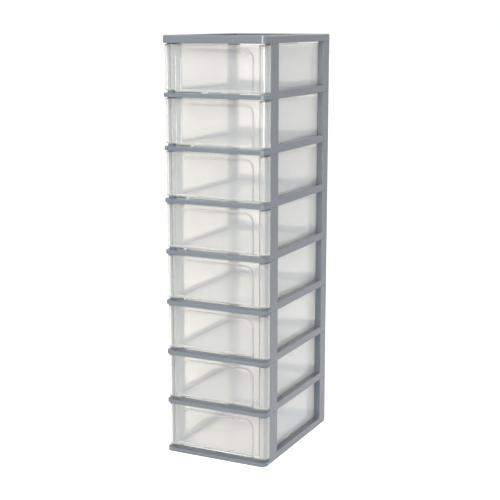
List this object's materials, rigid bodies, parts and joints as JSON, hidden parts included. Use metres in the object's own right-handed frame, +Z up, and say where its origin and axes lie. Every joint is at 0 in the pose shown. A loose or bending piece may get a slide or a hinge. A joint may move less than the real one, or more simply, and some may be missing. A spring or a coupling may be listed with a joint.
{
  "type": "plastic drawer tower",
  "caption": "Tall narrow plastic drawer tower: stacked open-sided frames, each with a translucent pull-out drawer with a recessed front, under a shallow tray cover.",
  "frame": {"origin": "on the floor, at the middle of the tower's footprint", "axes": "+Z up, the drawers' faces towards -Y, +X to the right seen from the front"},
  "size_m": [0.26, 0.364, 0.9775],
  "materials": {
    "frame_plastic": "blue-grey moulded polypropylene, satin, fine moulded texture",
    "drawer_plastic": "milky translucent moulded polypropylene, smooth satin"
  },
  "bodies": {
    "tower": {"tier_frame_1": "frame_plastic", "tier_frame_2": "frame_plastic", "tier_frame_3": "frame_plastic", "tier_frame_4": "frame_plastic", "tier_frame_5": "frame_plastic", "tier_frame_6": "frame_plastic", "tier_frame_7": "frame_plastic", "tier_frame_8": "frame_plastic", "top_cover": "frame_plastic"},
    "drawer_1": {"drawer_1": "drawer_plastic"},
    "drawer_2": {"drawer_2": "drawer_plastic"},
    "drawer_3": {"drawer_3": "drawer_plastic"},
    "drawer_4": {"drawer_4": "drawer_plastic"},
    "drawer_5": {"drawer_5": "drawer_plastic"},
    "drawer_6": {"drawer_6": "drawer_plastic"},
    "drawer_7": {"drawer_7": "drawer_plastic"},
    "drawer_8": {"drawer_8": "drawer_plastic"}
  },
  "joints": [
    {"name": "drawer_1_slide", "type": "slide", "parent": "tower", "child": "drawer_1", "axis": [0, -1, 0], "range_m": [0, 0.2607]},
    {"name": "drawer_2_slide", "type": "slide", "parent": "tower", "child": "drawer_2", "axis": [0, -1, 0], "range_m": [0, 0.2607]},
    {"name": "drawer_3_slide", "type": "slide", "parent": "tower", "child": "drawer_3", "axis": [0, -1, 0], "range_m": [0, 0.2607]},
    {"name": "drawer_4_slide", "type": "slide", "parent": "tower", "child": "drawer_4", "axis": [0, -1, 0], "range_m": [0, 0.2607]},
    {"name": "drawer_5_slide", "type": "slide", "parent": "tower", "child": "drawer_5", "axis": [0, -1, 0], "range_m": [0, 0.2607]},
    {"name": "drawer_6_slide", "type": "slide", "parent": "tower", "child": "drawer_6", "axis": [0, -1, 0], "range_m": [0, 0.2607]},
    {"name": "drawer_7_slide", "type": "slide", "parent": "tower", "child": "drawer_7", "axis": [0, -1, 0], "range_m": [0, 0.2607]},
    {"name": "drawer_8_slide", "type": "slide", "parent": "tower", "child": "drawer_8", "axis": [0, -1, 0], "range_m": [0, 0.2607]}
  ]
}
